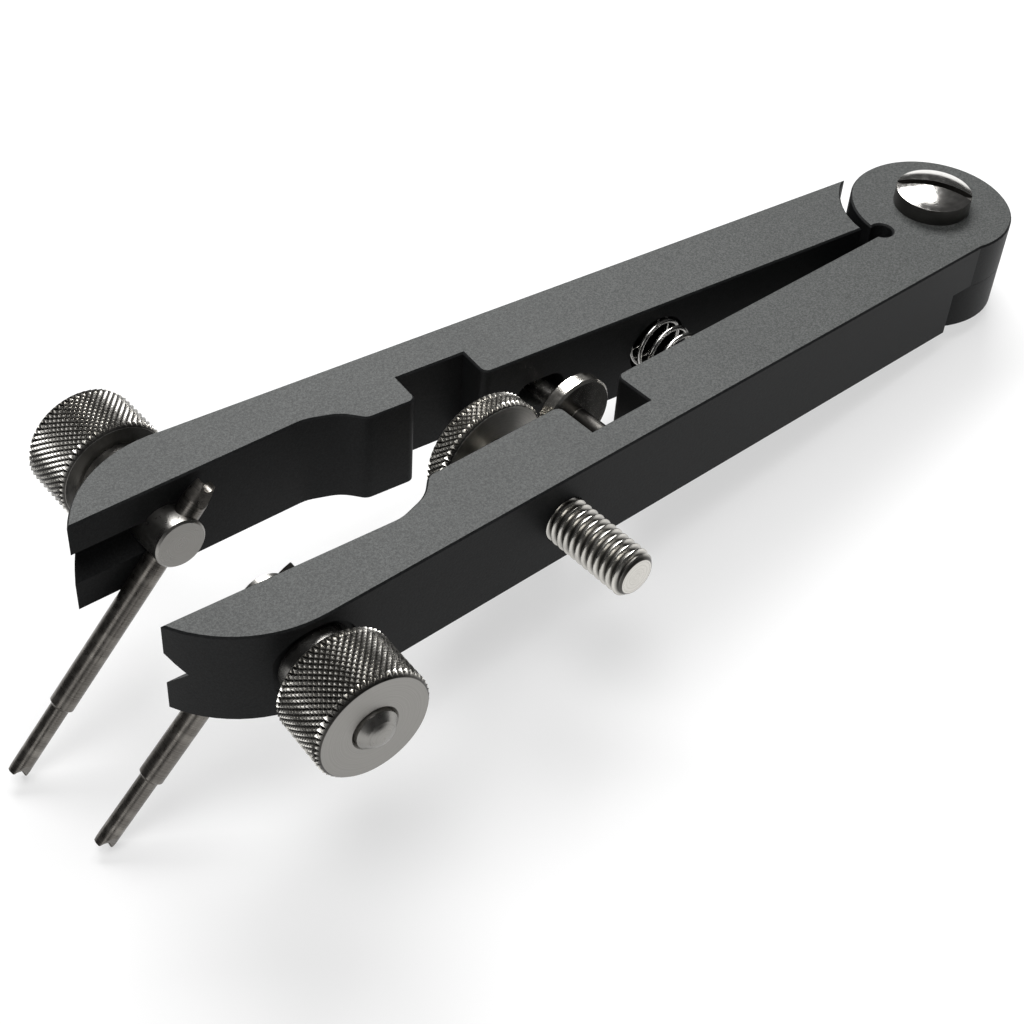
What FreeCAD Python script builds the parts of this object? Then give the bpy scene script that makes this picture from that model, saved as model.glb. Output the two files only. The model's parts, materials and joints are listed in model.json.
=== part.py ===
import FreeCAD, Part
import Sketcher
import math
import os
import re
from FreeCAD import Placement, Rotation, Vector

# Sprung pliers for watch-bracelet spring bars: two arms lap-jointed at the heel, a forked
# rod clamped in each jaw, a threaded closing stop and an opening-limit screw between them.
#
# Tool frame, in millimetres: origin on the pivot axis at mid thickness, +X from the jaws to
# the heel, +Z along the pivot axis. Each arm is drawn in a frame of its own, +Y outwards.

os.makedirs("parts", exist_ok=True)
doc = FreeCAD.newDocument("SpringBarPliers")

# ---------------------------------------------------------------- driving dimensions
DIMENSIONS = [
    ("thick", 12.8, "thickness of both arms"),
    ("half_width", 10.7, "pivot axis to the straight outer edge of an arm"),
    ("knuckle_r", 11.0, "radius of the half-lap knuckle"),
    ("recess_r", 12.4, "clearance swept for the other arm's knuckle"),
    ("lap_gap", 0.06, "running gap between the two knuckles"),
    ("inner_gap", 0.5, "mid plane to the inner edge when the arms are parallel"),
    ("open_half", 3.44, "angle of each arm from the mid plane at rest, degrees"),
    ("near_nose", 125.4, "pivot to the near arm's nose"),
    ("far_nose", 126.4, "pivot to the far arm's nose"),
    ("nose_r", 15.7, "radius of the rounded nose"),
    ("nose_start", 111.0, "pivot to the start of the rounded nose"),
    ("throat_x", 96.0, "pivot to the foot of the scoop behind the jaw"),
    ("throat_y", 3.95, "depth of that scoop"),
    ("bend_x", 91.9, "pivot to the bend between the scoop and its crest"),
    ("bend_y", 2.8, "that bend, from the mid plane"),
    ("scoop_x", 89.6, "pivot to the crest of the scoop"),
    ("scoop_r", 5.0, "radius that blends the scoop into the jaw"),
    ("crest_r", 1.6, "radius on the crest of the scoop"),
    ("edge_break", 0.25, "small chamfer on turned pieces"),
    ("arm_break", 0.22, "small chamfer round both broad faces of an arm"),
    ("relief_x", 10.4, "pivot to the relief hole in the corner of the knuckle"),
    ("relief_r", 1.5, "radius of the relief hole"),
    ("pivot_bore_r", 3.53, "bore of the turning knuckle"),
    ("pivot_thread_r", 2.5, "thread of the pivot screw"),
    ("pivot_shank_r", 3.5, "shoulder of the pivot screw"),
    ("pivot_head_r", 5.15, "head of the pivot screw"),
    ("pivot_skirt", 2.2, "straight height of that head"),
    ("pivot_dome", 1.1, "rise of its dome"),
    ("pivot_slot_w", 1.2, "screwdriver slot width"),
    ("pivot_slot_deep", 1.3, "screwdriver slot depth"),
    ("slot_turn", 35.0, "direction of the slot, degrees from the X axis"),
    ("stop_x", 77.3, "pivot to the closing-stop screw"),
    ("stop_r", 3.0, "closing-stop screw, M6"),
    ("stop_out", 22.4, "its plain end, from the mid plane"),
    ("stop_in", 6.6, "its stub end, past the mid plane"),
    ("stop_chamfer", 0.7, "chamfer on both ends"),
    ("wheel_r", 7.9, "knurled wheel radius"),
    ("wheel_near", 2.0, "wheel's near face, past the mid plane"),
    ("wheel_w", 3.2, "wheel width"),
    ("wheel_break", 0.45, "chamfer on the wheel's rims"),
    ("fit", 0.03, "radial running clearance"),
    ("thread_fit", 0.01, "radial clearance of a screw that stays put"),
    ("overrun", 1.0, "how far a cut starts outside the metal"),
    ("bay_x1", 82.8, "clearance bay for the stop screw, front wall"),
    ("bay_x2", 73.4, "clearance bay, rear wall"),
    ("bay_deep", 5.1, "clearance bay depth from the mid plane"),
    ("window_x1", 69.7, "finger window for the limit disc, front wall"),
    ("window_x2", 60.5, "finger window, rear wall"),
    ("window_deep", 6.3, "finger window depth from the mid plane"),
    ("corner_r", 1.1, "rounded mouths of the bay and the window"),
    ("limit_x", 63.8, "pivot to the opening-limit screw"),
    ("limit_r", 1.25, "opening-limit screw, M2.5"),
    ("limit_end", 8.3, "its blind end in the near arm, from the mid plane"),
    ("limit_head_r", 3.0, "its head"),
    ("limit_head_h", 2.0, "its head height"),
    ("limit_slot_x", 64.7, "centre of the slot it passes in the far arm"),
    ("limit_slot_half", 1.5, "half the slot's straight run"),
    ("limit_slot_r", 2.1, "half the slot's width"),
    ("limit_seat", 8.2, "seat of the head, from the mid plane"),
    ("limit_seat_r", 3.8, "half the width of the head's recess"),
    ("disc_r", 5.2, "limit disc radius"),
    ("disc_w", 2.1, "limit disc width"),
    ("disc_near", 1.75, "its near face, past the mid plane"),
    ("disc_break", 0.3, "chamfer on its rims"),
    ("spring_x", 46.4, "pivot to the return spring"),
    ("spring_bore_r", 4.3, "blind bores that hold the spring"),
    ("spring_bore_y", 5.9, "floor of those bores from the mid plane"),
    ("spring_mean_r", 3.6, "mean radius of the coils"),
    ("spring_wire_r", 0.3, "wire radius"),
    ("spring_pitch", 1.75, "pitch of the coils at rest"),
    ("near_clamp", 111.8, "pivot to the near arm's clamp stud"),
    ("far_clamp", 114.9, "pivot to the far arm's clamp stud"),
    ("jaw_slope", 4.78, "slope of the jaw's inner face, degrees"),
    ("groove_half", 2.25, "half width and depth of the V groove in the jaw"),
    ("groove_rear", 2.0, "clamp stud to the rear end of the groove"),
    ("stud_r", 3.2, "clamp stud body"),
    ("stud_cap", 3.5, "its end, proud of the jaw's inner face"),
    ("stud_body", 5.4, "length of the body inside the arm"),
    ("stud_thread_r", 2.5, "its thread, M5"),
    ("stud_end", 19.2, "end of the thread, before its chamfer"),
    ("stud_break", 0.75, "that chamfer"),
    ("stud_dome", 0.6, "rise of the domed end"),
    ("seat_s", 7.2, "spot-faced seat outside the jaw, from its inner face"),
    ("seat_r", 5.3, "radius of that spot face"),
    ("collar_r", 4.6, "smooth collar under the clamp nut"),
    ("collar_w", 3.4, "collar length"),
    ("nut_r", 7.0, "knurled clamp nut radius"),
    ("nut_w", 8.2, "clamp nut length"),
    ("nut_break", 0.5, "chamfer on its faces"),
    ("fork_r", 1.5, "forked rod radius"),
    ("fork_tilt", 48.0, "rod's angle below the arms, degrees"),
    ("fork_shoulder", 23.9, "clamp stud to the rod's shoulder"),
    ("fork_tip", 33.8, "clamp stud to the fork's tips"),
    ("near_tail", 5.4, "near clamp stud to the spare fork at the rod's other end"),
    ("far_tail", 7.2, "far clamp stud to the spare fork"),
    ("neck_r", 1.15, "neck of the fork"),
    ("blade_half", 0.55, "half thickness of the fork's blade"),
    ("blade_len", 3.6, "length of the blade"),
    ("grind_out", 1.8, "outer edge of the cuts that grind the blade"),
    ("notch_r", 0.8, "radius of the notch between the prongs"),
]

dims = doc.addObject("Spreadsheet::Sheet", "dims")
for row, (alias, value, meaning) in enumerate(DIMENSIONS, start=1):
    dims.set("A%d" % row, alias)
    dims.set("B%d" % row, repr(value))
    dims.set("C%d" % row, meaning)
    dims.setAlias("B%d" % row, alias)
doc.recompute()

ALIASES = [alias for alias, value, meaning in DIMENSIONS]


def point_at_sheet(match):
    name = match.group(0)
    return "dims." + name if name in ALIASES else name


def bound(text):
    """The expression with each dimension's name pointed at the spreadsheet."""
    return re.sub(r"[a-z_][a-z0-9_]*", point_at_sheet, text)


def size(text):
    """The present value of an expression of dimensions."""
    return float(dims.evalExpression(bound(text)))


# ---------------------------------------------------------------- sketching helpers
SAME_POINT = 1e-6
ON_CORNER = 0.05
PLANE_ROLES = {"XY": "XY_Plane", "XZ": "XZ_Plane", "YZ": "YZ_Plane"}


def new_body(label):
    body = doc.addObject("PartDesign::Body", label)
    body.Label = label
    return body


def sketch_on(body, plane, name, offset=None, turn=None):
    """A sketch on one of the body's own planes. offset is (x, y, z) in the plane's axes; turn
    is an angle about the plane's second axis."""
    sketch = body.newObject("Sketcher::SketchObject", body.Label + "_" + name)
    origin_plane = [o for o in body.Origin.OriginFeatures if o.Role == PLANE_ROLES[plane]][0]
    sketch.AttachmentSupport = [(origin_plane, "")]
    sketch.MapMode = "FlatFace"
    if turn:
        sketch.AttachmentOffset = Placement(Vector(), Rotation(Vector(0, 1, 0), size(turn)))
        sketch.setExpression("AttachmentOffset.Rotation.Angle", bound(turn))
    for axis, text in zip("xyz", offset or ()):
        if text != "0":
            sketch.setExpression("AttachmentOffset.Base." + axis, bound(text))
    return sketch


def hold(sketch, kind, args, text):
    """A dimensional constraint that follows an expression."""
    index = sketch.addConstraint(Sketcher.Constraint(kind, *args, size(text)))
    sketch.setExpression("Constraints[%d]" % index, bound(text))


def outline(sketch, path):
    """A closed outline. Each entry is (x, y) or (x, y, radius, side): the last two make the
    edge that leaves the point an arc, bulging to the left (+1) or right (-1) of its chord."""
    points = [Vector(size(entry[0]), size(entry[1]), 0) for entry in path]
    for i, entry in enumerate(path):
        start = points[i]
        end = points[(i + 1) % len(points)]
        if len(entry) == 2:
            sketch.addGeometry(Part.LineSegment(start, end))
            continue
        radius = size(entry[2])
        chord = end - start
        left = Vector(-chord.y, chord.x, 0).normalize() * entry[3]
        rise = radius - math.sqrt(max(0, radius ** 2 - (chord.Length / 2) ** 2))
        middle = (start + end) * 0.5 + left * rise
        sketch.addGeometry(Part.Arc(start, middle, end))
    count = len(path)
    ends = []
    for i, entry in enumerate(path):
        counter = len(entry) == 4 and entry[3] < 0
        clockwise = len(entry) == 4 and not counter
        ends.append((2, 1) if clockwise else (1, 2))
    for i in range(count):
        after = (i + 1) % count
        sketch.addConstraint(Sketcher.Constraint("Coincident", i, ends[i][1], after, ends[after][0]))
    for i, entry in enumerate(path):
        hold(sketch, "DistanceX", (-1, 1, i, ends[i][0]), entry[0])
        hold(sketch, "DistanceY", (-1, 1, i, ends[i][0]), entry[1])
        if len(entry) == 2:
            continue
        chord = points[i].distanceToPoint(points[(i + 1) % count])
        if abs(2 * size(entry[2]) - chord) < SAME_POINT:
            # A half circle's centre is level with its ends, so its radius follows by itself.
            sketch.addConstraint(Sketcher.Constraint("Vertical", i, 3, i, ends[i][0]))
        else:
            hold(sketch, "Radius", (i,), entry[2])


def circle(sketch, x, y, radius):
    centre = Vector(size(x), size(y), 0)
    index = sketch.addGeometry(Part.Circle(centre, Vector(0, 0, 1), size(radius)))
    hold(sketch, "DistanceX", (-1, 1, index, 3), x)
    hold(sketch, "DistanceY", (-1, 1, index, 3), y)
    hold(sketch, "Radius", (index,), radius)


def feature(body, kind, name, sketch, length=None, midplane=False, through=False, flip=False):
    item = body.newObject("PartDesign::" + kind, body.Label + "_" + name)
    item.Profile = sketch
    if length:
        item.setExpression("Length", bound(length))
    if midplane:
        item.Midplane = True
    if through:
        item.Type = 1
    if flip:
        item.Reversed = True
    sketch.Visibility = False
    doc.recompute()
    return item


def turned(label, path):
    """A turned piece: its half section, x along the axis and y the radius, spun about X."""
    body = new_body(label)
    sketch = sketch_on(body, "XY", "section")
    outline(sketch, path)
    spin = body.newObject("PartDesign::Revolution", label + "_turning")
    spin.Profile = sketch
    spin.ReferenceAxis = (sketch, ["H_Axis"])
    spin.Angle = 360
    sketch.Visibility = False
    doc.recompute()
    return body


def edges_along_z(shape, x, y):
    """Names of the straight edges parallel to Z that stand at (x, y)."""
    names = []
    for number, edge in enumerate(shape.Edges, start=1):
        a = edge.Vertexes[0].Point
        b = edge.Vertexes[-1].Point
        upright = math.hypot(a.x - b.x, a.y - b.y) < SAME_POINT < abs(a.z - b.z)
        if upright and math.hypot(a.x - x, a.y - y) < ON_CORNER:
            names.append("Edge%d" % number)
    return names


def round_corners(body, name, corners, radius):
    base = body.Tip
    names = []
    for x, y in corners:
        names += edges_along_z(base.Shape, size(x), size(y))
    fillet = body.newObject("PartDesign::Fillet", body.Label + "_" + name)
    fillet.Base = (base, names)
    fillet.setExpression("Radius", bound(radius))
    doc.recompute()


# ---------------------------------------------------------------- the two arms
# Milled from one plate of aluminium. Both have their knuckle on the -Z half in their own frame:
# the near arm is the same blank turned over.
def jaw_y(distance):
    """How far the jaw's sloping inner face is from the mid plane, that far from the pivot."""
    return "throat_y - (%s - throat_x) * tan(jaw_slope)" % distance


def arm(label, nose):
    body = new_body(label)
    blank = sketch_on(body, "XY", "blank")
    outline(blank, [
        ("0", "inner_gap"),
        ("0", "half_width"),
        ("-nose_start", "half_width", "nose_r", -1),
        ("-" + nose, jaw_y(nose)),
        ("-throat_x", "throat_y"),
        ("-bend_x", "bend_y"),
        ("-scoop_x", "inner_gap"),
    ])
    feature(body, "Pad", "plate", blank, "thick", midplane=True)
    round_corners(body, "scoop", [("-throat_x", "throat_y"), ("-bend_x", "bend_y")], "scoop_r")
    round_corners(body, "crest", [("-scoop_x", "inner_gap")], "crest_r")
    knuckle = sketch_on(body, "XY", "knuckle", offset=("0", "0", "-thick / 2"))
    circle(knuckle, "0", "0", "knuckle_r")
    feature(body, "Pad", "knuckle", knuckle, "thick / 2 - lap_gap / 2")
    swept = sketch_on(body, "XY", "swept", offset=("0", "0", "-lap_gap / 2"))
    circle(swept, "0", "0", "recess_r")
    feature(body, "Pocket", "lap", swept, through=True, flip=True)
    relief = sketch_on(body, "XY", "relief", offset=("0", "0", "thick"))
    circle(relief, "-relief_x", "0", "relief_r")
    feature(body, "Pocket", "relief", relief, through=True)
    return body


def cross_hole(body, name, x, radius, start=None, stop=None):
    """A round hole along Y, from the inner edge (or start) outwards to stop, or right through."""
    sketch = sketch_on(body, "XZ", name, offset=("0", "0", "-(%s)" % (start or "-half_width")))
    circle(sketch, "-(%s)" % x, "0", radius)
    if stop:
        feature(body, "Pocket", name, sketch, "(%s) - (%s)" % (stop, start or "-half_width"))
    else:
        feature(body, "Pocket", name, sketch, through=True)


def along_stud(clamp, distance):
    """Where a plane square to the clamp stud lies, that distance outwards of the jaw's face."""
    return (
        "-%s - (%s) * sin(jaw_slope)" % (clamp, distance),
        "0",
        "-(%s) - (%s) * cos(jaw_slope)" % (jaw_y(clamp), distance),
    )


def jaw_seat(body, clamp):
    """What the clamp needs: the stud's bore square to the sloping inner face, a spot face for
    the collar outside, and the V groove that holds the rod when it points straight ahead."""
    bore = sketch_on(body, "XZ", "stud_bore", offset=along_stud(clamp, "-nose_r"), turn="jaw_slope")
    circle(bore, "0", "0", "stud_r + fit")
    feature(body, "Pocket", "stud_bore", bore, through=True)
    spot = sketch_on(body, "XZ", "spot_face", offset=along_stud(clamp, "seat_s"), turn="jaw_slope")
    circle(spot, "0", "0", "seat_r")
    feature(body, "Pocket", "spot_face", spot, through=True)
    rear_end = (
        "%s + groove_rear * sin(jaw_slope)" % jaw_y(clamp),
        "0",
        "-%s + groove_rear * cos(jaw_slope)" % clamp,
    )
    groove = sketch_on(body, "YZ", "groove", offset=rear_end, turn="jaw_slope")
    outline(groove, [
        ("-overrun", "-groove_half - overrun"),
        ("groove_half", "0"),
        ("-overrun", "groove_half + overrun"),
    ])
    feature(body, "Pocket", "groove", groove, through=True)


def bay(body, name, front, rear, depth):
    """A square-bottomed bay milled through the inner edge, its mouth rounded."""
    sketch = sketch_on(body, "XY", name, offset=("0", "0", "thick"))
    outline(sketch, [
        ("-" + front, "-overrun"),
        ("-" + rear, "-overrun"),
        ("-" + rear, depth),
        ("-" + front, depth),
    ])
    feature(body, "Pocket", name, sketch, through=True)
    mouth = [("-" + front, "inner_gap"), ("-" + rear, "inner_gap")]
    round_corners(body, name + "_mouth", mouth, "corner_r")


def slot(body, name, start, half_run, radius):
    """A slot through to the outer edge, long along the arm, from start outwards."""
    sketch = sketch_on(body, "XZ", name, offset=("-limit_slot_x", "0", "-(%s)" % start))
    front = "-(%s)" % half_run
    outline(sketch, [
        (front, "-(%s)" % radius),
        (half_run, "-(%s)" % radius, radius, -1),
        (half_run, radius),
        (front, radius, radius, -1),
    ])
    feature(body, "Pocket", name, sketch, through=True)


far_arm = arm("far_arm", "far_nose")
jaw_seat(far_arm, "far_clamp")
bay(far_arm, "stop_bay", "bay_x1", "bay_x2", "bay_deep")
slot(far_arm, "limit_slot", "-half_width", "limit_slot_half", "limit_slot_r")
slot(far_arm, "limit_recess", "limit_seat", "limit_slot_half", "limit_seat_r")
cross_hole(far_arm, "spring_bore", "spring_x", "spring_bore_r", stop="spring_bore_y")

near_arm = arm("near_arm", "near_nose")
jaw_seat(near_arm, "near_clamp")
bay(near_arm, "disc_window", "window_x1", "window_x2", "window_deep")
cross_hole(near_arm, "limit_thread", "limit_x", "limit_r + thread_fit", stop="limit_end")
cross_hole(near_arm, "stop_thread", "stop_x", "stop_r + fit")
cross_hole(near_arm, "spring_bore", "spring_x", "spring_bore_r", stop="spring_bore_y")


def break_edges(body):
    """A small chamfer round the two broad faces."""
    base = body.Tip
    names = []
    for number, edge in enumerate(base.Shape.Edges, start=1):
        box = edge.BoundBox
        flat = box.ZLength < SAME_POINT
        if flat and abs(abs(box.ZMin) - size("thick") / 2) < SAME_POINT:
            names.append("Edge%d" % number)
    chamfer = body.newObject("PartDesign::Chamfer", body.Label + "_edges")
    chamfer.Base = (base, names)
    chamfer.setExpression("Size", bound("arm_break"))
    doc.recompute()


for body, radius in ((far_arm, "pivot_thread_r + thread_fit"), (near_arm, "pivot_bore_r")):
    pivot_hole = sketch_on(body, "XY", "pivot_hole", offset=("0", "0", "thick"))
    circle(pivot_hole, "0", "0", radius)
    feature(body, "Pocket", "pivot_hole", pivot_hole, through=True)
    break_edges(body)

# ---------------------------------------------------------------- pivot and spring
# Shouldered screw: threaded into the lower knuckle, the upper one turns on its shoulder.
HEAD_BASE = "thick / 2 + lap_gap / 2"
HEAD_TOP = HEAD_BASE + " + pivot_skirt + pivot_dome"
PIVOT_DOME_R = "(pivot_head_r ^ 2 + pivot_dome ^ 2) / (2 * pivot_dome)"
pivot_screw = turned("pivot_screw", [
    ("-thick / 2 + edge_break", "0"),
    ("-thick / 2 + edge_break", "pivot_thread_r"),
    ("-lap_gap / 2", "pivot_thread_r"),
    ("-lap_gap / 2", "pivot_shank_r"),
    (HEAD_BASE, "pivot_shank_r"),
    (HEAD_BASE, "pivot_head_r"),
    (HEAD_BASE + " + pivot_skirt", "pivot_head_r", PIVOT_DOME_R, 1),
    (HEAD_TOP, "0"),
])
driver_slot = sketch_on(pivot_screw, "XY", "slot")
outline(driver_slot, [
    (HEAD_TOP + " - pivot_slot_deep", "-pivot_slot_w / 2"),
    (HEAD_TOP + " + overrun", "-pivot_slot_w / 2"),
    (HEAD_TOP + " + overrun", "pivot_slot_w / 2"),
    (HEAD_TOP + " - pivot_slot_deep", "pivot_slot_w / 2"),
])
feature(pivot_screw, "Pocket", "slot", driver_slot, midplane=True, through=True)

# Compression spring between the two blind bores, coiled about X.
SPRING_HALF = (
    "spring_bore_y * cos(open_half) + spring_x * sin(open_half) - spring_wire_r"
    " - (spring_mean_r + spring_wire_r) * sin(open_half) - fit"
)
return_spring = new_body("return_spring")
wire = sketch_on(return_spring, "XY", "wire")
circle(wire, "-(%s)" % SPRING_HALF, "spring_mean_r", "spring_wire_r")
coils = return_spring.newObject("PartDesign::AdditiveHelix", "return_spring_coils")
coils.Profile = wire
coils.ReferenceAxis = (wire, ["H_Axis"])
coils.Mode = 0
coils.setExpression("Pitch", bound("spring_pitch"))
coils.setExpression("Height", bound("2 * (%s)" % SPRING_HALF))
wire.Visibility = False
doc.recompute()

# ---------------------------------------------------------------- stops between the arms
# All four lie on axes square to the near arm, x outwards through it from the mid plane.
adjusting_screw = turned("adjusting_screw", [
    ("-stop_in", "0"),
    ("-stop_in", "stop_r - stop_chamfer"),
    ("-stop_in + stop_chamfer", "stop_r"),
    ("stop_out - stop_chamfer", "stop_r"),
    ("stop_out", "stop_r - stop_chamfer"),
    ("stop_out", "0"),
])


def ring(label, start, width, bore, radius, rim):
    """A ring from start along the axis, its outer rims chamfered."""
    end = "%s + %s" % (start, width)
    return turned(label, [
        (start, bore),
        (start, "%s - %s" % (radius, rim)),
        ("%s + %s" % (start, rim), radius),
        ("%s - %s" % (end, rim), radius),
        (end, "%s - %s" % (radius, rim)),
        (end, bore),
    ])


adjusting_wheel = ring(
    "adjusting_wheel", "-wheel_near - wheel_w", "wheel_w", "stop_r + fit", "wheel_r", "wheel_break")
limit_disc = ring(
    "limit_disc", "-disc_near - disc_w", "disc_w", "limit_r + fit", "disc_r", "disc_break")
LIMIT_SEAT = (
    "-(limit_seat + fit + (limit_head_r + limit_x) * sin(2 * open_half)) / cos(2 * open_half)"
)
limit_screw = turned("limit_screw", [
    (LIMIT_SEAT + " - limit_head_h", "0"),
    (LIMIT_SEAT + " - limit_head_h", "limit_head_r - edge_break"),
    (LIMIT_SEAT + " - limit_head_h + edge_break", "limit_head_r"),
    (LIMIT_SEAT, "limit_head_r"),
    (LIMIT_SEAT, "limit_r"),
    ("limit_end - edge_break", "limit_r"),
    ("limit_end - edge_break", "0"),
])

# ---------------------------------------------------------------- clamps and forked rods
# Two of each, one set per jaw. Clamp pieces: x outwards along the stud from the jaw's inner
# face. Rods: x from the stud towards the working tips.
STUD_DOME_R = "((stud_thread_r - stud_break) ^ 2 + stud_dome ^ 2) / (2 * stud_dome)"


def clamp_stud(label):
    stud = turned(label, [
        ("-stud_cap", "0"),
        ("-stud_cap", "stud_r - edge_break"),
        ("-stud_cap + edge_break", "stud_r"),
        ("stud_body", "stud_r"),
        ("stud_body", "stud_thread_r"),
        ("stud_end", "stud_thread_r"),
        ("stud_end + stud_break", "stud_thread_r - stud_break", STUD_DOME_R, 1),
        ("stud_end + stud_break + stud_dome", "0"),
    ])
    eye = sketch_on(stud, "XZ", "eye")
    circle(eye, "-fork_r - fit", "0", "fork_r + fit")
    feature(stud, "Pocket", "eye", eye, midplane=True, through=True)
    return stud


CLAMP_BORE = "stud_thread_r + fit"


def collar(label):
    return ring(label, "seat_s + fit", "collar_w - fit", CLAMP_BORE, "collar_r", "edge_break")


def clamp_nut(label):
    return ring(label, "seat_s + collar_w + fit", "nut_w", CLAMP_BORE, "nut_r", "nut_break")


def forked_rod(label, rear):
    """A round rod with a shouldered neck. Both ends are ground to a blade and notched."""
    rod = turned(label, [
        ("-" + rear, "0"),
        ("-" + rear, "neck_r"),
        ("2 * neck_r - " + rear, "fork_r"),
        ("fork_shoulder", "fork_r"),
        ("fork_shoulder + fork_r - neck_r", "neck_r"),
        ("fork_tip", "neck_r"),
        ("fork_tip", "0"),
    ])
    ends = (
        ("work", "fork_tip", "fork_tip - blade_len"),
        ("tail", "-" + rear, "blade_len - " + rear),
    )
    for end, tip, root in ends:
        for face, side in (("upper", ""), ("under", "-")):
            name = end + "_grind_" + face
            grind = sketch_on(rod, "XY", name)
            outline(grind, [
                (root, side + "grind_out"),
                (tip, side + "blade_half"),
                (tip, side + "grind_out"),
            ])
            feature(rod, "Pocket", name + "_cut", grind, midplane=True, through=True)
        notch = sketch_on(rod, "XZ", end + "_notch")
        circle(notch, tip, "0", "notch_r")
        feature(rod, "Pocket", end + "_notch", notch, midplane=True, through=True)
    return rod


# ---------------------------------------------------------------- assembly
def framed(origin, along_x, along_y):
    """The placement that puts a piece's x and y axes along two given directions."""
    across = along_x.cross(along_y)
    return Placement(origin, Rotation(along_x, along_y, across, "XYZ"))


UP = Vector(0, 0, 1)
opening = size("open_half")
far_place = Placement(Vector(), Rotation(UP, -opening))
near_place = Placement(Vector(), Rotation(UP, opening) * Rotation(Vector(1, 0, 0), 180))
pieces = [(far_arm, far_place), (near_arm, near_place)]

slot_turn = math.radians(size("slot_turn"))
pivot_turn = Vector(math.cos(slot_turn), math.sin(slot_turn), 0)
pieces.append((pivot_screw, framed(Vector(), UP, pivot_turn)))
spring_centre = "-spring_x * cos(open_half) + (spring_bore_y + inner_gap) / 2 * sin(open_half)"
pieces.append((return_spring, framed(Vector(size(spring_centre), 0, 0), Vector(0, 1, 0), UP)))

outwards = near_place.Rotation.multVec(Vector(0, 1, 0))
stops = (
    (adjusting_screw, "stop_x"),
    (adjusting_wheel, "stop_x"),
    (limit_screw, "limit_x"),
    (limit_disc, "limit_x"),
)
for piece, distance in stops:
    origin = near_place.multVec(Vector(-size(distance), 0, 0))
    pieces.append((piece, framed(origin, outwards, UP)))

slope = math.radians(size("jaw_slope"))
tilt = math.radians(size("fork_tilt"))
turned_parts = (
    (clamp_stud, "clamp_stud_"),
    (collar, "clamp_collar_"),
    (clamp_nut, "clamp_nut_"),
)
for side, place in (("far", far_place), ("near", near_place)):
    clamp = side + "_clamp"
    face = place.multVec(Vector(-size(clamp), size(jaw_y(clamp)), 0))
    square = place.Rotation.multVec(Vector(-math.sin(slope), math.cos(slope), 0))
    ahead = place.Rotation.multVec(Vector(-math.cos(slope), -math.sin(slope), 0))
    rod_way = ahead * math.cos(tilt) - UP * math.sin(tilt)
    for make, label in turned_parts:
        pieces.append((make(label + side), framed(face, square, rod_way)))
    rod_axis = face - square * (size("fork_r") + size("fit"))
    pieces.append((forked_rod("fork_" + side, side + "_tail"), framed(rod_axis, rod_way, square)))

# The tool stands on its two forks and the rim of its heel: pitch it until all three are level,
# then bring the middle of its base to the origin.
fork_places = [place for piece, place in pieces if piece.Label.startswith("fork_")]
tip = fork_places[0].multVec(Vector(size("fork_tip"), 0, 0))
rim = Vector(size("knuckle_r - arm_break"), 0, -size("thick") / 2)
pitch = math.degrees(math.atan2(rim.z - tip.z, rim.x - tip.x))
level = Placement(Vector(), Rotation(Vector(0, 1, 0), pitch))
for piece, place in pieces:
    piece.Placement = level * place
doc.recompute()
extent = Part.makeCompound([piece.Shape for piece, place in pieces]).optimalBoundingBox()
base = Placement(Vector(-extent.Center.x, -extent.Center.y, -extent.ZMin), Rotation())
for piece, place in pieces:
    piece.Placement = base * level * place
doc.recompute()

# ---------------------------------------------------------------- checks and export
for item in doc.Objects:
    if "Invalid" in item.State or "Error" in item.State:
        raise RuntimeError("feature failed: " + item.Label)
for piece, place in pieces:
    if piece.Shape.isNull() or not piece.Shape.isValid() or len(piece.Shape.Solids) != 1:
        raise RuntimeError("bad shape: " + piece.Label)
    piece.Shape.exportStep("parts/%s.step" % piece.Label)
print("exported", len(pieces), "pieces, pitch", round(pitch, 3))
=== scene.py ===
import json
import math

import bmesh
import bpy
from mathutils import Matrix, Vector


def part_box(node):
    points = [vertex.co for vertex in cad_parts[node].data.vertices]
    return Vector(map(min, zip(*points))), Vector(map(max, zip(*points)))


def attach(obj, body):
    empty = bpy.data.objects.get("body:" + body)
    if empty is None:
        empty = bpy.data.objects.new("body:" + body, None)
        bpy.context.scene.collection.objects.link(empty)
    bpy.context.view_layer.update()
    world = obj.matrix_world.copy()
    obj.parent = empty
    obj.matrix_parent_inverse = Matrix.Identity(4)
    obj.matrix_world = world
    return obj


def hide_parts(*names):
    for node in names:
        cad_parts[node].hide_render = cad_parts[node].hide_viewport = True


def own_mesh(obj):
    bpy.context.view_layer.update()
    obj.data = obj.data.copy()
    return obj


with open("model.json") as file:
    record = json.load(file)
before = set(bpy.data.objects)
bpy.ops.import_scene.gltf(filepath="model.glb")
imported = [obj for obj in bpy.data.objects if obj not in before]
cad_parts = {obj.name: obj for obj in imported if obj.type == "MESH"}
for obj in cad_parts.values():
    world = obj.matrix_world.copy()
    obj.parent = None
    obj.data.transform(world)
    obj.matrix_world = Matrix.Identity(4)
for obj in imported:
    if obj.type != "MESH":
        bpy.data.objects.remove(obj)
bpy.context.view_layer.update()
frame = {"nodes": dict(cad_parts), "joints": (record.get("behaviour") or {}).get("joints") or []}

# ---------------------------------------------------------------- the two arms
# Milled from aluminium plate and hard anodised black. The two broad faces are bead-blasted
# first, so they come out a grainy dark grey; the milled edges and pockets stay near black.


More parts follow.
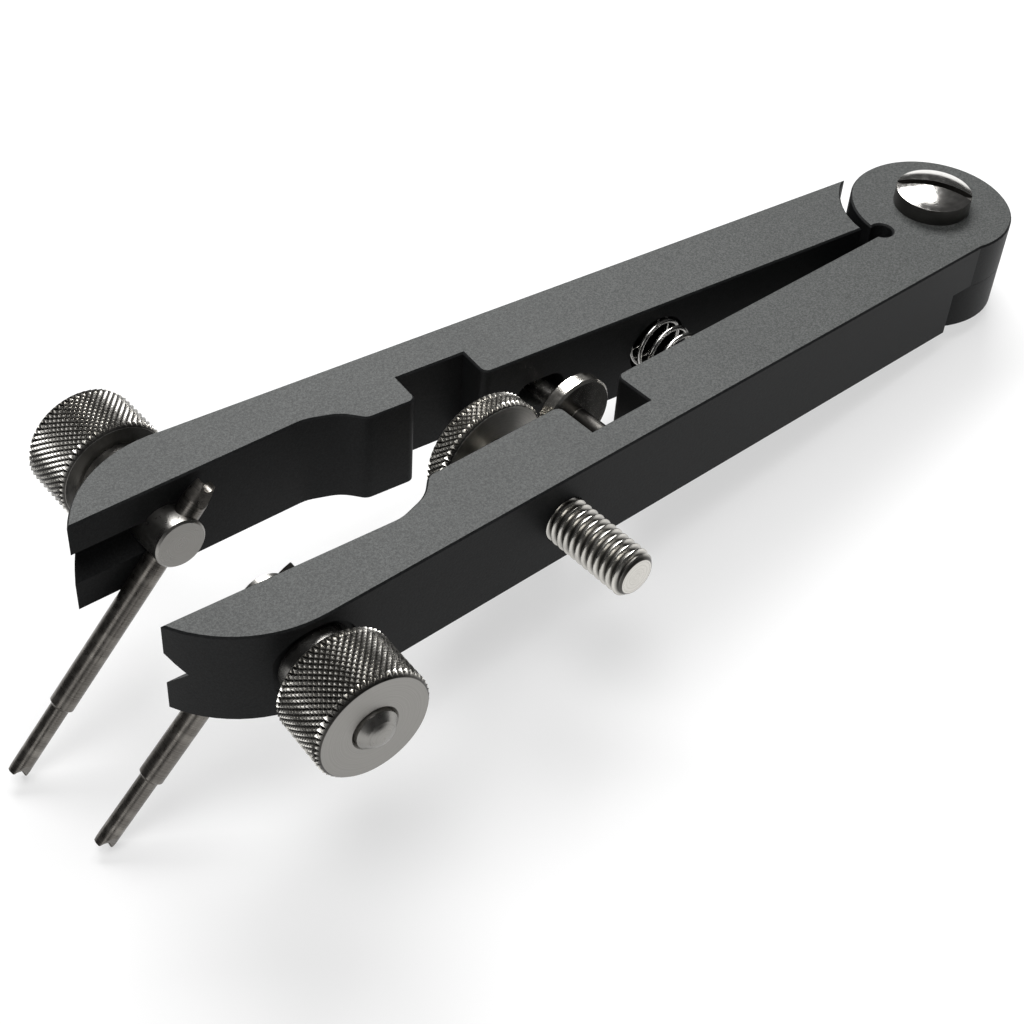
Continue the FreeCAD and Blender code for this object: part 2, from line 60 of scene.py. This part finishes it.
class Level:
    """A number or colour that a finish's nodes give. Sums on it add Math nodes."""

    def __init__(self, finish, socket):
        self.finish = finish
        self.socket = socket

    def worked(self, operation, first, second):
        return self.finish.node("Math", {"operation": operation}, {0: first, 1: second})

    def __add__(self, other):
        return self.worked("ADD", self, other)

    def __radd__(self, other):
        return self.worked("ADD", other, self)

    def __sub__(self, other):
        return self.worked("SUBTRACT", self, other)

    def __rsub__(self, other):
        return self.worked("SUBTRACT", other, self)

    def __mul__(self, other):
        return self.worked("MULTIPLY", self, other)

    def __rmul__(self, other):
        return self.worked("MULTIPLY", other, self)

    def __pow__(self, other):
        return self.worked("POWER", self, other)


class Finish:
    """A surface finish made of shader nodes, on the piece's own coordinates in metres."""

    def __init__(self, name):
        self.material = bpy.data.materials.new(name)
        self.material.use_nodes = True
        self.tree = self.material.node_tree
        self.tree.nodes.clear()
        self.place = self.node("TexCoord", out="Object")

    def node(self, kind, settings=None, values=None, out=0):
        """Adds a node: its settings first, then the value or link of each socket."""
        made = self.tree.nodes.new("ShaderNode" + kind)
        for name, setting in (settings or {}).items():
            setattr(made, name, setting)
        for socket, value in (values or {}).items():
            if isinstance(value, Level):
                self.tree.links.new(value.socket, made.inputs[socket])
            else:
                made.inputs[socket].default_value = value
        return Level(self, made.outputs[out]) if made.outputs else None

    def shadow(self, vector, axis):
        """How far a vector reaches along an axis."""
        return self.node("VectorMath", {"operation": "DOT_PRODUCT"}, {0: vector, 1: axis}, out="Value")

    def grain(self, size, detail=2.0):
        """Even noise whose spots are about that size."""
        values = {"Vector": self.place, "Scale": 1 / size, "Detail": detail}
        return self.node("TexNoise", values=values)

    def rings(self, spacing, along, detail=3.0):
        """Noise of one number, such as tool marks along an axis."""
        values = {"W": along * (1 / spacing), "Scale": 1.0, "Detail": detail}
        return self.node("TexNoise", {"noise_dimensions": "1D"}, values)

    def ramp(self, level, low, high, start=0.0, end=1.0):
        """Follows level from low to high, as start to end, and holds beyond them."""
        values = {"Value": level, "From Min": low, "From Max": high,
                  "To Min": start, "To Max": end}
        return self.node("MapRange", values=values)

    def blend(self, share, first, second):
        values = {0: share, 6: first + (1,) if isinstance(first, tuple) else first,
                  7: second + (1,) if isinstance(second, tuple) else second}
        return self.node("Mix", {"data_type": "RGBA"}, values, out=2)

    def bump(self, height, depth, strength=1.0):
        values = {"Height": height, "Distance": depth, "Strength": strength}
        return self.node("Bump", values=values)

    def surface(self, colour, roughness, normal, metallic=1.0, **fixed):
        values = {"Base Color": colour, "Roughness": roughness, "Metallic": metallic,
                  "Normal": normal}
        values.update({name.replace("_", " "): value for name, value in fixed.items()})
        shader = self.node("BsdfPrincipled", values=values)
        self.node("OutputMaterial", values={"Surface": shader})
        return self.material


def steady(joint):
    """A joint's own centre and axis at rest."""
    found = [j for j in frame["joints"] if j["name"] == joint][0]
    return Vector(found["pos_m"]), Vector(found["axis"]).normalized()


pivot_centre, pivot_axis = steady("arm_hinge")


def black_anodised():
    skin = Finish("black_anodised")
    facing = skin.node("NewGeometry", out="True Normal")
    flat = skin.shadow(facing, pivot_axis)
    blasted = skin.ramp(flat * flat, 0.80, 0.96)
    pits = skin.grain(0.00030, detail=3.0)
    fine = skin.grain(0.00014, detail=1.0)
    bloom = skin.grain(0.012, detail=3.0)
    speck = skin.ramp(fine * 0.5 + pits * 0.5, 0.40, 0.62)
    milled = skin.blend(speck, (0.0055, 0.0058, 0.0062), (0.0120, 0.0126, 0.0130))
    broad = skin.blend(speck, (0.034, 0.036, 0.035), (0.084, 0.087, 0.085))
    dye = skin.blend(blasted, milled, broad)
    dye = skin.blend(skin.ramp(bloom, 0.35, 0.7, 0.0, 0.12), dye, (0.040, 0.041, 0.041))
    dull = 0.42 + pits * 0.10 + bloom * 0.06
    relief = skin.bump(pits * 0.7 + fine * 0.3, 0.00005, 0.5)
    return skin.surface(dye, dull, relief, metallic=0.0, IOR=1.42, Specular_IOR_Level=0.16)


def refinish(piece, material):
    for place in piece.material_slots:
        place.material = material


anodised = black_anodised()
for arm in ("near_arm", "far_arm"):
    refinish(frame["nodes"][arm], anodised)

# ---------------------------------------------------------------- pivot screw
# Shouldered steel screw through both knuckles, with a low domed head. The head is turned,
# slotted and then polished; faint rings of the polishing wheel stay on the dome.


# Near-black colour of painted shade, put in slots, thread roots, knurl grooves and on the limit screw.
SHADE_TONE = (0.040, 0.038, 0.035)


def round_axis(metal, centre, axis):
    """How far along the axis a point is, and how far away from it."""
    arm = metal.node("VectorMath", {"operation": "SUBTRACT"}, {0: metal.place, 1: centre})
    along = metal.shadow(arm, axis)
    reach = metal.node("VectorMath", {"operation": "LENGTH"}, {0: arm}, out="Value")
    return along, (reach * reach - along * along) ** 0.5


def turned_finish(name, centre, axis, tones, roughness, marks, depth, scuffs=0.0008, shade_mask=None):
    """Bright metal from the lathe: tool marks run round the axis, on faces and sides alike.
    The optional mask function says how much painted shade a place gets, from the finish, along and
    away."""
    metal = Finish(name)
    along, away = round_axis(metal, centre, axis)
    tooling = metal.rings(marks, along + away)
    handling = metal.grain(scuffs, detail=4.0)
    broad = metal.grain(0.004, detail=2.0)
    tone = metal.ramp(tooling * 0.75 + handling * 0.25, 0.3, 0.7)
    colour = metal.blend(tone, tones[0], tones[1])
    wear = metal.ramp(handling * 0.6 + broad * 0.4, 0.35, 0.65)
    polish = roughness[0] + (roughness[1] - roughness[0]) * wear
    if shade_mask:
        # Painted shade: the colour goes toward the near-black shade tone where the mask says, and the
        # surface gets rougher.
        shaded = shade_mask(metal, along, away)
        colour = metal.blend(shaded, colour, SHADE_TONE)
        polish = polish + shaded * 0.2
    relief = metal.bump(tooling, depth, 0.6)
    return metal.surface(colour, polish, relief)


HEAD_R = 0.00515
SLOT_HALF = 0.0006
SLOT_TURN = math.radians(35)
heel_way = Vector((pivot_axis.z, 0, -pivot_axis.x))
slot_side = heel_way * math.cos(SLOT_TURN) + pivot_axis.cross(heel_way) * math.sin(SLOT_TURN)


def slot_and_skirt_shade(metal, along, away):
    """Painted shade in the driver slot and on the edge of the head under its polished dome."""
    arm = metal.node("VectorMath", {"operation": "SUBTRACT"}, {0: metal.place, 1: pivot_centre})
    off = metal.shadow(arm, slot_side)
    # Painted shade inside the slot.
    slot = metal.ramp(off * off, (1.02 * SLOT_HALF) ** 2, (1.10 * SLOT_HALF) ** 2, 0.9, 0.0)
    # Painted shade on the rim of the head under the dome.
    edge = metal.ramp(away, HEAD_R - 0.00008, HEAD_R - 0.00003, 0.0, 0.9)
    return slot + edge - slot * edge


polished = turned_finish(
    "polished_steel", pivot_centre, pivot_axis,
    tones=((0.66, 0.64, 0.61), (0.80, 0.78, 0.75)), roughness=(0.10, 0.20),
    marks=0.00025, depth=0.000002, shade_mask=slot_and_skirt_shade)
refinish(frame["nodes"]["pivot_screw"], polished)

# ---------------------------------------------------------------- return spring
# Compression spring of bright drawn steel wire, coiled on a mandrel with open ends. It stands
# in the blind bores of both arms and shortens as the arms close; here it is one rigid coil
# carried by the near_side body.
SMOOTH_BELOW = math.radians(32)
WIRE = 0.0003
COIL = 0.0036
COIL_PITCH = 0.00175
WIRE_SIDES = 16
STEPS_PER_COIL = 48


def take_up(piece):
    """Makes the piece the only selected one."""
    bpy.ops.object.select_all(action="DESELECT")
    piece.select_set(True)
    bpy.context.view_layer.objects.active = piece


def bench(piece, name):
    """Starts work on a new piece in edit mode."""
    piece.name = name
    piece.data.name = name
    take_up(piece)
    bpy.ops.object.mode_set(mode="EDIT")
    return piece


def pick(piece, kind, wanted):
    """In edit mode, selects the verts, edges or faces that wanted says yes to."""
    bpy.ops.mesh.select_mode(type={"verts": "VERT", "edges": "EDGE", "faces": "FACE"}[kind])
    bpy.ops.mesh.select_all(action="DESELECT")
    mesh = bmesh.from_edit_mesh(piece.data)
    for part in getattr(mesh, kind):
        if wanted(part):
            part.select_set(True)
    mesh.select_flush_mode()
    bmesh.update_edit_mesh(piece.data)


def settle(piece, centre, axis, body, material, stands_for):
    """Turns the piece's own Z to the axis, sets it in place, and hands it to its body."""
    take_up(piece)
    piece.rotation_mode = "QUATERNION"
    piece.rotation_quaternion = Vector(axis).to_track_quat("Z", "Y")
    piece.location = centre
    bpy.ops.object.transform_apply(location=True, rotation=True, scale=True)
    bpy.ops.object.shade_smooth_by_angle(angle=SMOOTH_BELOW)
    piece.data.materials.clear()
    piece.data.materials.append(material)
    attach(piece, body)
    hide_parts(stands_for)
    return piece


def applied(piece, kind, **settings):
    """Adds a modifier with those settings and applies it."""
    take_up(piece)
    modifier = piece.modifiers.new(kind.lower(), kind)
    for name, setting in settings.items():
        setattr(modifier, name, setting)
    bpy.ops.object.modifier_apply(modifier=modifier.name)


spring_low, spring_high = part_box("return_spring")
spring_centre = (spring_low + spring_high) / 2
spring_length = spring_high.y - spring_low.y - 2 * WIRE
bpy.ops.mesh.primitive_circle_add(
    vertices=WIRE_SIDES, radius=WIRE, location=(COIL, 0, -spring_length / 2),
    rotation=(math.radians(90), 0, 0))
spring = bench(bpy.context.object, "spring_coils")
bpy.ops.object.mode_set(mode="OBJECT")
bpy.ops.object.transform_apply(location=True, rotation=True, scale=True)
coils = int(spring_length / COIL_PITCH)
applied(spring, "SCREW", axis="Z", screw_offset=spring_length / coils, iterations=coils,
        steps=STEPS_PER_COIL, render_steps=STEPS_PER_COIL, use_merge_vertices=False)
bench(spring, "spring_coils")
bpy.ops.mesh.select_all(action="SELECT")
bpy.ops.mesh.remove_doubles(threshold=WIRE / 100)
pick(spring, "edges", lambda edge: edge.is_boundary)
bpy.ops.mesh.edge_face_add()
bpy.ops.mesh.select_all(action="SELECT")
bpy.ops.mesh.normals_make_consistent(inside=False)
bpy.ops.object.mode_set(mode="OBJECT")
bright_wire = turned_finish(
    "bright_wire", spring_centre, Vector((0, 1, 0)),
    tones=((0.50, 0.49, 0.47), (0.72, 0.71, 0.69)), roughness=(0.16, 0.28),
    marks=0.0004, depth=0.000002, scuffs=0.0005)
settle(spring, spring_centre, (0, 1, 0), "near_side", bright_wire, "return_spring")
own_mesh(spring)

# ---------------------------------------------------------------- closing-stop screw
# M6 steel screw, nickel plated. The thread is rolled; both ends are turned off flat with a
# deep chamfer, and the outer end carries no slot because the wheel turns it.
STOP_R = 0.0030
STOP_PITCH = 0.0010
STOP_CHAMFER = 0.0007
THREAD_STEPS = 40
THREAD_DEPTH = 0.56
CREST_FLAT = 0.16
ROOT_FLAT = 0.20
CUT_CLEAR = 0.37
CUT_SNAP = 1e-8
LEVEL = 1e-7


def point_at(name, spot):
    """A new mesh of one point, ready to be drawn out in edit mode."""
    bpy.ops.mesh.primitive_plane_add(size=0.001)
    piece = bench(bpy.context.object, name)
    bpy.ops.mesh.select_all(action="SELECT")
    bpy.ops.mesh.merge(type="CENTER")
    bpy.ops.mesh.select_all(action="SELECT")
    bpy.ops.transform.translate(value=spot)
    return piece


def line_by(step):
    """Draws a line on from the selected point."""
    bpy.ops.mesh.extrude_vertices_move(TRANSFORM_OT_translate={"value": step})


def threaded_bar(name, radius, pitch, start, end, chamfer):
    """A bar with a rolled 60 degree thread along Z, its ends chamfered."""
    depth = THREAD_DEPTH * pitch
    crest, root = CREST_FLAT * pitch, ROOT_FLAT * pitch
    flank = (pitch - crest - root) / 2
    turns = math.ceil((end - start) / pitch) + 4
    bar = point_at(name, (radius - depth, 0, start - 2 * pitch))
    line_by((0, 0, root))
    line_by((depth * 0.92, 0, flank * 0.94))
    line_by((depth * 0.08, 0, flank * 0.06 + crest * 0.2))
    line_by((0, 0, crest * 0.6))
    line_by((-depth * 0.08, 0, flank * 0.06 + crest * 0.2))
    line_by((-depth * 0.92, 0, flank * 0.94))
    bpy.ops.object.mode_set(mode="OBJECT")
    applied(bar, "SCREW", axis="Z", screw_offset=pitch, iterations=turns, steps=THREAD_STEPS,
            render_steps=THREAD_STEPS, use_merge_vertices=False)
    bench(bar, name)
    bpy.ops.mesh.select_all(action="SELECT")
    bpy.ops.mesh.remove_doubles(threshold=pitch / 200)
    for level, side in ((start - CUT_CLEAR * pitch, -1), (end + CUT_CLEAR * pitch, 1)):
        bpy.ops.mesh.select_all(action="SELECT")
        bpy.ops.mesh.bisect(plane_co=(0, 0, level), plane_no=(0, 0, side), use_fill=True,
                            clear_outer=True, threshold=CUT_SNAP)
    bpy.ops.mesh.select_all(action="SELECT")
    bpy.ops.mesh.normals_make_consistent(inside=False)
    bpy.ops.object.mode_set(mode="OBJECT")
    bpy.ops.mesh.primitive_cylinder_add(
        vertices=64, radius=radius, depth=end - start, location=(0, 0, (start + end) / 2))
    envelope = bench(bpy.context.object, name + "_envelope")
    bpy.ops.object.mode_set(mode="OBJECT")
    bpy.ops.object.transform_apply(location=True, rotation=True, scale=True)
    bench(envelope, name + "_envelope")
    pick(envelope, "edges", lambda edge: abs(edge.verts[0].co.z - edge.verts[1].co.z) < LEVEL)
    bpy.ops.mesh.bevel(offset=chamfer, segments=1)
    bpy.ops.object.mode_set(mode="OBJECT")
    applied(bar, "BOOLEAN", operation="INTERSECT", object=envelope, solver="EXACT")
    bpy.data.objects.remove(envelope)
    return bar


def reach_along(node, centre, axis):
    """How far a node reaches each way along an axis from a centre."""
    spans = [(vertex.co - centre).dot(axis) for vertex in frame["nodes"][node].data.vertices]
    return min(spans), max(spans)


NICKEL = ((0.50, 0.485, 0.45), (0.68, 0.66, 0.62))
stop_centre, stop_axis = steady("wheel_spin")
stop_start, stop_end = reach_along("adjusting_screw", stop_centre, stop_axis)
stop_screw = threaded_bar("stop_screw_thread", STOP_R, STOP_PITCH, stop_start, stop_end, STOP_CHAMFER)


def thread_root_shade(metal, along, away):
    """Painted shade in the roots of the thread, but not on the flat ends."""
    root = metal.ramp(away, STOP_R - 0.50 * STOP_PITCH, STOP_R - 0.18 * STOP_PITCH, 0.92, 0.0)
    outside = metal.ramp(away, STOP_R - 0.80 * STOP_PITCH, STOP_R - 0.70 * STOP_PITCH)
    return root * outside


plated_stop = turned_finish(
    "plated_stop", stop_centre, stop_axis, tones=NICKEL, roughness=(0.16, 0.30),
    marks=0.00012, depth=0.000003, shade_mask=thread_root_shade)
settle(stop_screw, stop_centre, stop_axis, "stop_screw", plated_stop, "adjusting_screw")

# ---------------------------------------------------------------- closing-stop wheel
# Steel wheel between the arms, diamond knurled for the fingertips, faced and chamfered after
# knurling so the pattern runs out over the chamfers, then nickel plated.
KNURL_DEEP = 0.00038
POINTS = (0.78, 0.76, 0.71)
WHEEL_R = 0.0079
WHEEL_BORE = 0.00303
WHEEL_BREAK = 0.00045
BORE_BREAK = 0.00030


def drawn_out(step):
    """Extrudes the selected rim by a step."""
    bpy.ops.mesh.extrude_region_move(TRANSFORM_OT_translate={"value": step})


def radius_of(vertex):
    return math.hypot(vertex.co.x, vertex.co.y)


def knurled_ring(name, radius, bore, start, end, edge, diamonds, rows):
    """A ring along Z with a diamond knurl: crossed grooves leave rows of small pyramids."""
    middle = (start + end) / 2
    band = end - start - 2 * edge
    columns = 2 * diamonds
    bpy.ops.mesh.primitive_cylinder_add(
        vertices=columns, radius=radius, depth=band, end_fill_type="NOTHING")
    ring = bench(bpy.context.object, name)
    pick(ring, "edges", lambda e: abs(e.verts[0].co.z - e.verts[1].co.z) > band / 2)
    bpy.ops.mesh.subdivide(number_cuts=rows - 1)

    def in_groove(vertex):
        turn = (math.atan2(vertex.co.y, vertex.co.x) / math.tau) % 1
        return (round(turn * columns) + round((vertex.co.z / band + 0.5) * rows)) % 2 == 0

    pick(ring, "verts", in_groove)
    groove = (radius - KNURL_DEEP) / radius
    bpy.ops.transform.resize(value=(groove, groove, 1), center_override=(0, 0, 0))
    bpy.ops.mesh.select_mode(type="FACE")
    bpy.ops.mesh.select_all(action="SELECT")
    bpy.ops.mesh.quads_convert_to_tris(quad_method="SHORTEST_DIAGONAL")
    for side in (-1, 1):
        def at_end(edge_, level=band / 2):
            return all(abs(v.co.z - side * level) < LEVEL for v in edge_.verts)

        pick(ring, "edges", at_end)
        drawn_out((0, 0, side * edge))
        for high in (True, False):
            rim = radius if high else radius - KNURL_DEEP
            pick(ring, "verts", lambda v: abs(v.co.z - side * (band / 2 + edge)) < LEVEL
                 and abs(radius_of(v) - rim) < KNURL_DEEP / 4)
            shrink = (radius - edge) / rim
            bpy.ops.transform.resize(value=(shrink, shrink, 1), center_override=(0, 0, 0))
        pick(ring, "verts", lambda v: abs(v.co.z - side * band / 2) < LEVEL
             and radius_of(v) < radius - KNURL_DEEP / 2)
        bpy.ops.transform.translate(value=(0, 0, side * KNURL_DEEP))
        pick(ring, "edges", lambda e: at_end(e, band / 2 + edge))
        mouth = bore + BORE_BREAK
        drawn_out((0, 0, 0))
        inner = mouth / (radius - edge)
        bpy.ops.transform.resize(value=(inner, inner, 1), center_override=(0, 0, 0))
        drawn_out((0, 0, -side * BORE_BREAK))
        narrow = bore / mouth
        bpy.ops.transform.resize(value=(narrow, narrow, 1), center_override=(0, 0, 0))
    pick(ring, "edges", lambda e: e.is_boundary)
    bpy.ops.mesh.bridge_edge_loops()
    bpy.ops.mesh.select_all(action="SELECT")
    bpy.ops.mesh.normals_make_consistent(inside=False)
    bpy.ops.transform.translate(value=(0, 0, middle))
    bpy.ops.object.mode_set(mode="OBJECT")
    return ring


def knurled_finish(name, centre, axis, radius, edge, tones):
    """Plating on a knurled ring: bright on the points, painted shade in the grooves and on the
    chamfers, satin on the faces."""
    metal = Finish(name)
    along, away = round_axis(metal, centre, axis)
    facing = metal.rings(0.00010, away)
    handling = metal.grain(0.0006, detail=4.0)
    colour = metal.blend(metal.ramp(facing * 0.7 + handling * 0.3, 0.3, 0.7), tones[0], tones[1])
    point = metal.ramp(away, radius - 0.6 * KNURL_DEEP, radius - 0.3 * KNURL_DEEP)
    colour = metal.blend(point, colour, POINTS)
    groove = metal.ramp(away, radius - 0.9 * KNURL_DEEP, radius - 0.35 * KNURL_DEEP, 1.0, 0.0)
    face = metal.ramp(away, radius - edge, radius - edge + 0.00005, 1.0, 0.0)
    # Painted shade in the grooves and on the chamfers, kept off the faces.
    groove_shade = groove * (1.0 - face)
    colour = metal.blend(groove_shade * 0.92, colour, SHADE_TONE)
    polish = 0.18 + 0.10 * metal.ramp(handling, 0.35, 0.65) + 0.15 * groove_shade + 0.14 * face
    relief = metal.bump(facing, 0.000003, 0.5)
    return metal.surface(colour, polish, relief)


wheel_start, wheel_end = reach_along("adjusting_wheel", stop_centre, stop_axis)
wheel = knurled_ring("stop_wheel_knurled", WHEEL_R, WHEEL_BORE, wheel_start, wheel_end,
                     WHEEL_BREAK, diamonds=62, rows=6)
plated_wheel = knurled_finish(
    "plated_wheel", stop_centre, stop_axis, WHEEL_R, WHEEL_BREAK, NICKEL)
settle(wheel, stop_centre, stop_axis, "stop_wheel", plated_wheel, "adjusting_wheel")

# ---------------------------------------------------------------- opening-limit screw and disc
# An M2.5 steel screw from the far arm's outer side into the near arm, and the smooth disc nut on
# it that the finger turns in the near arm's window. The disc is turned bright and left unplated.
limit_centre, limit_axis = steady("disc_spin")
satin_disc = turned_finish(
    "satin_disc", limit_centre, limit_axis, tones=((0.62, 0.59, 0.54), (0.80, 0.78, 0.73)),
    roughness=(0.14, 0.26), marks=0.00015, depth=0.000003)
refinish(frame["nodes"]["limit_disc"], satin_disc)


def near_arm_shade(metal, along, away):
    """Painted shade on the screw where it stands in the near arm; it stays bright where the far arm
    slides.
    """
    return metal.ramp(along, 0.0009, 0.0012, 0.0, 0.97)


satin_screw = turned_finish(
    "satin_screw", limit_centre, limit_axis, tones=((0.50, 0.48, 0.45), (0.70, 0.68, 0.64)),
    roughness=(0.18, 0.30), marks=0.00045, depth=0.00004, shade_mask=near_arm_shade)
refinish(frame["nodes"]["limit_screw"], satin_screw)

# ---------------------------------------------------------------- clamp studs, collars and nuts
# One set in each jaw. The stud is turned from satin steel with a cross hole for the rod; the
# collar bears on the arm, and the knurled nickel-plated nut draws the stud tight.
NUT_R = 0.0070
NUT_BORE = 0.00253
NUT_BREAK = 0.0005
SATIN = ((0.25, 0.243, 0.23), (0.31, 0.302, 0.286))

for side in ("near", "far"):
    clamp_centre, clamp_axis = steady("nut_spin_" + side)
    satin = turned_finish(
        "satin_stud_" + side, clamp_centre, clamp_axis,
        tones=SATIN, roughness=(0.26, 0.36), marks=0.00010, depth=0.000003)
    refinish(frame["nodes"]["clamp_stud_" + side], satin)
    plated_collar = turned_finish(
        "plated_collar_" + side, clamp_centre, clamp_axis, tones=SATIN, roughness=(0.20, 0.30),
        marks=0.00020, depth=0.000003)
    refinish(frame["nodes"]["clamp_collar_" + side], plated_collar)
    nut_start, nut_end = reach_along("clamp_nut_" + side, clamp_centre, clamp_axis)
    nut = knurled_ring("clamp_nut_%s_knurled" % side, NUT_R, NUT_BORE, nut_start, nut_end,
                       NUT_BREAK, diamonds=56, rows=16)
    plated_nut = knurled_finish(
        "plated_nut_" + side, clamp_centre, clamp_axis, NUT_R, NUT_BREAK, SATIN)
    settle(nut, clamp_centre, clamp_axis, "nut_" + side, plated_nut, "clamp_nut_" + side)

# ---------------------------------------------------------------- forked rods
# Hardened tool steel, turned and left in its grey-brown temper colour, with lighter rings
# where it was last touched by the stone. Each end is ground to a blade and notched to a fork.


def tempered_rod(name, centre, axis):
    steel = Finish(name)
    along, away = round_axis(steel, centre, axis)
    tooling = steel.rings(0.00012, along)
    bands = steel.rings(0.0022, along, detail=1.0)
    handling = steel.grain(0.0007, detail=4.0)
    colour = steel.blend(steel.ramp(tooling, 0.3, 0.7), (0.115, 0.106, 0.096), (0.20, 0.188, 0.172))
    stoned = steel.ramp(bands * 0.8 + handling * 0.2, 0.5, 0.68, 0.0, 0.45)
    colour = steel.blend(stoned, colour, (0.34, 0.32, 0.29))
    polish = 0.24 + 0.14 * steel.ramp(handling, 0.3, 0.7)
    relief = steel.bump(tooling, 0.000004, 0.6)
    return steel.surface(colour, polish, relief)


for side in ("near", "far"):
    rod = frame["nodes"]["fork_" + side]
    rod_low, rod_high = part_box("fork_" + side)
    slide = [j for j in frame["joints"] if j["name"] == "fork_slide_" + side][0]
    refinish(rod, tempered_rod("tempered_" + side, (rod_low + rod_high) / 2, Vector(slide["axis"])))

# ---------------------------------------------------------------- studio
# A pale light table, a large soft light behind and above, one overhead, and a weak one at the
# left front. The camera looks down on the jaws from the near side.
FLOOR_SIZE = 4.0

bpy.ops.mesh.primitive_plane_add(size=FLOOR_SIZE)
floor = bpy.context.object
floor.name = "floor"
table = Finish("pale_table")
weave = table.grain(0.05, detail=2.0)
floor_colour = table.blend(weave, (0.30, 0.30, 0.30), (0.32, 0.32, 0.32))
floor.data.materials.append(table.surface(
    floor_colour, 0.7 + weave * 0.1, table.bump(weave, 0.0001, 0.1), metallic=0.0,
    Specular_IOR_Level=0.2, Emission_Color=(1.0, 1.0, 1.0, 1.0), Emission_Strength=0.6))


def softbox(name, spot, aim, wide, high, power):
    light = bpy.data.lights.new(name, "AREA")
    light.shape = "RECTANGLE"
    light.size = wide
    light.size_y = high
    light.energy = power
    lamp = bpy.data.objects.new(name, light)
    lamp.location = spot
    lamp.rotation_euler = (Vector(aim) - Vector(spot)).to_track_quat("-Z", "Y").to_euler()
    bpy.context.scene.collection.objects.link(lamp)


softbox("back_softbox", (0.26, 0.38, 0.50), (0, 0, 0.01), 0.50, 0.30, 7.0)
softbox("overhead_softbox", (-0.05, -0.05, 0.75), (0, 0, 0), 0.42, 0.42, 3.4)
softbox("front_softbox", (-0.55, -0.30, 0.28), (0, 0, 0.01), 0.25, 0.35, 0.35)

world = bpy.data.worlds.new("studio")
bpy.context.scene.world = world
world.use_nodes = True
world.node_tree.nodes["Background"].inputs["Color"].default_value = (1, 1, 1, 1)
world.node_tree.nodes["Background"].inputs["Strength"].default_value = 0.05
bpy.context.scene.view_settings.view_transform = "Standard"

lens = bpy.data.cameras.new("camera")
lens.lens = 63.48
lens.sensor_width = 36
lens.clip_start = 0.01
camera = bpy.data.objects.new("camera", lens)
bpy.context.scene.collection.objects.link(camera)
right = Vector((0.78885, -0.61313, -0.04224))
up = Vector((0.47652, 0.56679, 0.67207))
back = Vector((-0.38813, -0.55029, 0.73928))
stance = Matrix((right, up, back)).transposed().to_4x4()
stance.translation = (-0.096544, -0.124878, 0.172391)
camera.matrix_world = stance
bpy.context.scene.camera = camera
